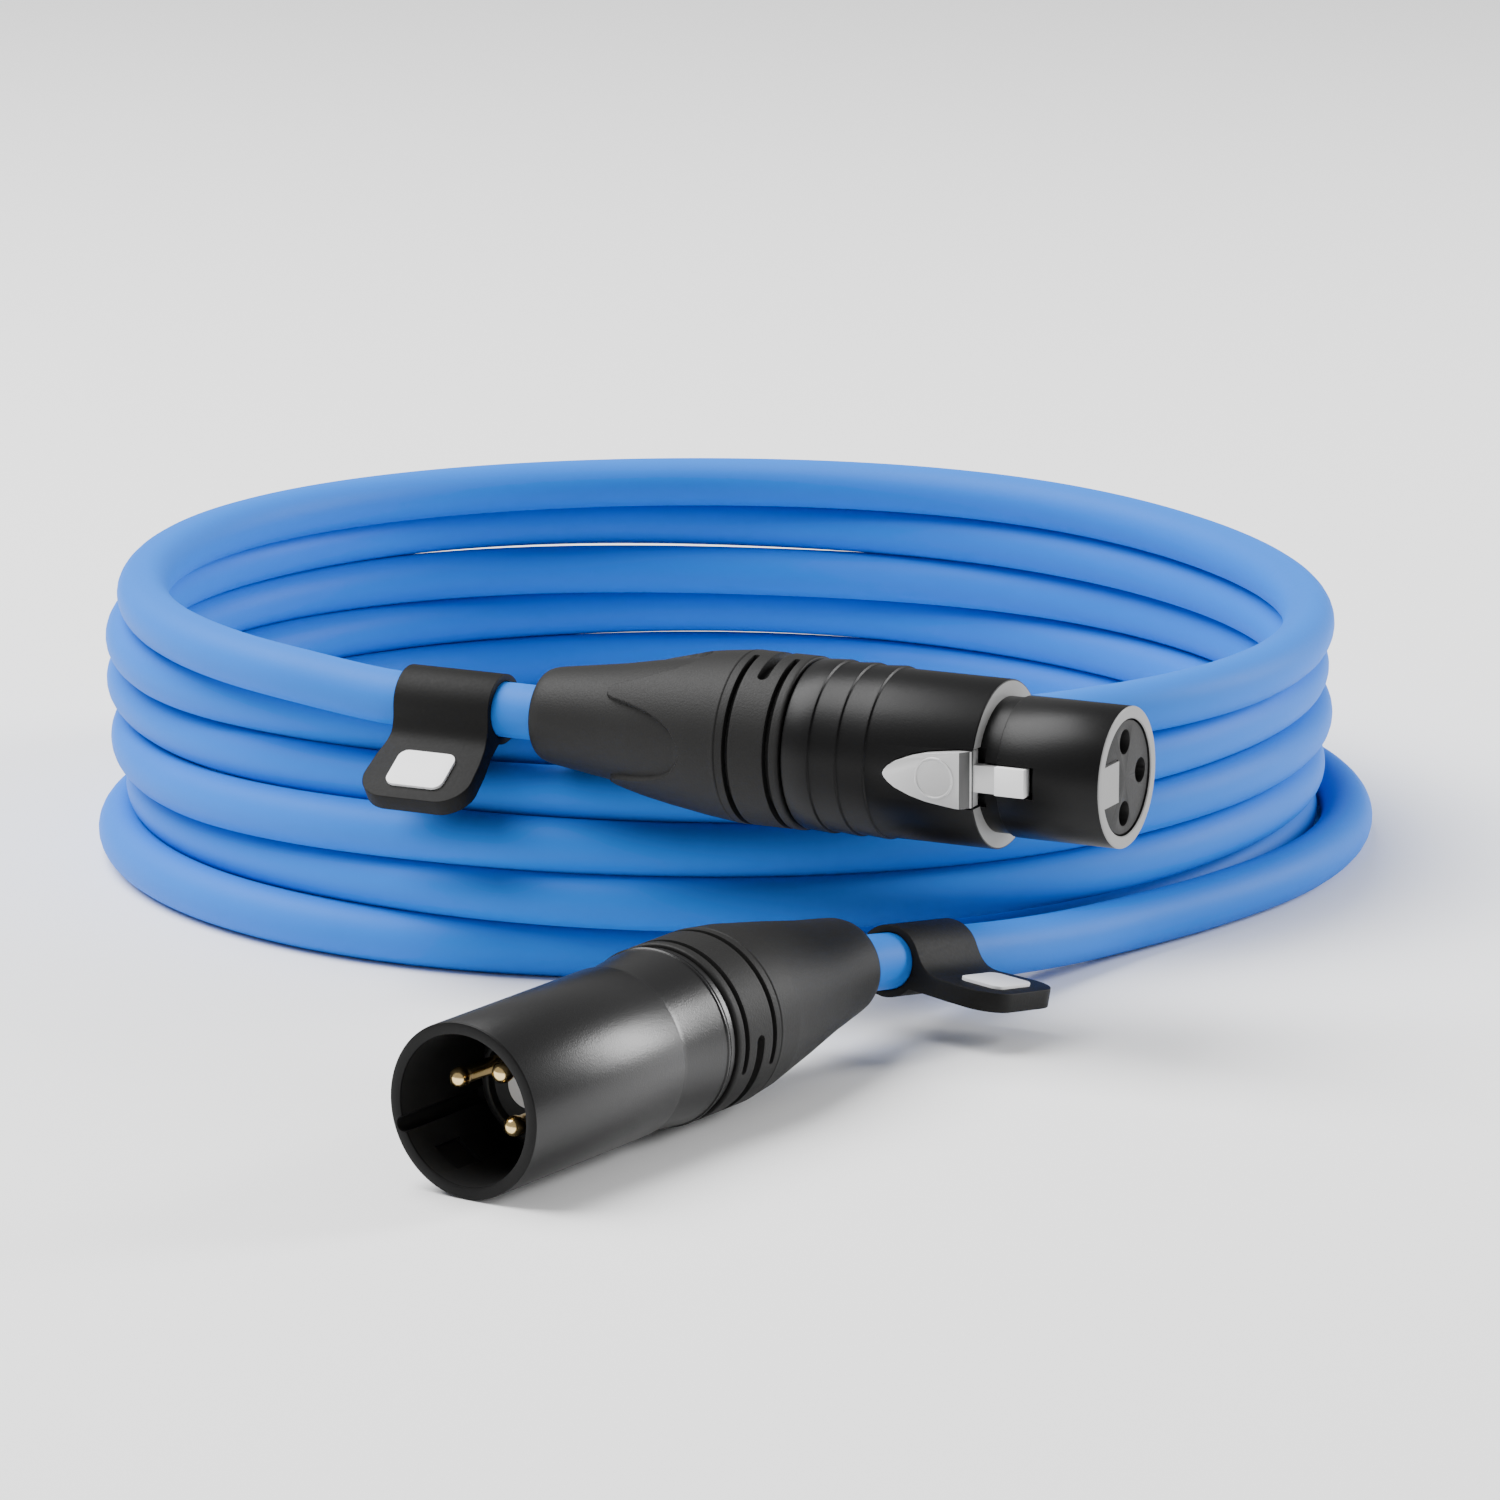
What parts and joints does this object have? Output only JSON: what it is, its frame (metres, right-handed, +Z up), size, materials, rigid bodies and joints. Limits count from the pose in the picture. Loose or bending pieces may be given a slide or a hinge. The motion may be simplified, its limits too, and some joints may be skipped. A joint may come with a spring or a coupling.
{
  "type": "microphone cable",
  "caption": "Coiled balanced microphone cable with a latching female and a male three-pole connector and a loop tag behind each boot.",
  "frame": {"origin": "middle of the whole thing's footprint, on the floor it rests on", "axes": "+Z up; -Y towards the side the two connectors lie on; +X to the right seen from that side"},
  "size_m": [0.16, 0.2436, 0.0411],
  "materials": {
    "jacket_blue": "satin PVC jacket",
    "shell_black": "satin black plated die casting",
    "boot_charcoal": "matt polyurethane",
    "carrier_grey": "matt glass-filled polyamide",
    "latch_nickel": "satin nickel plate",
    "contact_gold": "gold plate",
    "spring_steel": "spring steel",
    "collet_white": "matt POM",
    "tag_rubber": "matt moulded rubber",
    "mark_white": "matt white",
    "core_red": "satin PVC",
    "core_white": "satin PVC",
    "shield_copper": "twisted copper drain"
  },
  "bodies": {
    "cable": {"cable_coil": "jacket_blue", "cable_lead_female": "jacket_blue", "cable_loop_male": "jacket_blue", "female_shell": "shell_black", "female_insert": "carrier_grey", "female_contact_1": "contact_gold", "female_contact_2": "contact_gold", "female_contact_3": "contact_gold", "female_ground_contact": "spring_steel", "female_latch_pin": "spring_steel", "female_latch_spring": "spring_steel", "female_chuck": "collet_white", "female_bushing": "boot_charcoal", "female_core_shield": "shield_copper", "female_core_hot": "core_red", "female_core_cold": "core_white", "male_shell": "shell_black", "male_insert": "shell_black", "male_boss": "collet_white", "male_pin_1": "contact_gold", "male_pin_2": "contact_gold", "male_pin_3": "contact_gold", "male_chuck": "collet_white", "male_bushing": "boot_charcoal", "male_core_shield": "shield_copper", "male_core_hot": "core_red", "male_core_cold": "core_white"},
    "latch": {"female_latch": "latch_nickel"},
    "female_tag_body": {"female_tag": "tag_rubber", "female_tag_mark": "mark_white"},
    "male_tag_body": {"male_tag": "tag_rubber", "male_tag_mark": "mark_white"}
  },
  "joints": [
    {"name": "latch_press", "type": "hinge", "parent": "cable", "child": "latch", "pos_m": [0.0174, -0.05354, 0.0312], "axis": [0, 0, 1], "range_deg": [0, 5], "stiffness_Nm_per_rad": 0.8, "springref_deg": -1.72},
    {"name": "female_tag_swivel", "type": "hinge", "parent": "cable", "child": "female_tag_body", "pos_m": [-0.03406, -0.01931, 0.0312], "axis": [-0.8963, 0.4435, 0], "range_deg": [-5, 100]},
    {"name": "male_tag_swivel", "type": "hinge", "parent": "cable", "child": "male_tag_body", "pos_m": [0.01823, -0.04792, 0.00815], "axis": [-0.568, -0.81, 0.1456], "range_deg": [0, 60]}
  ]
}
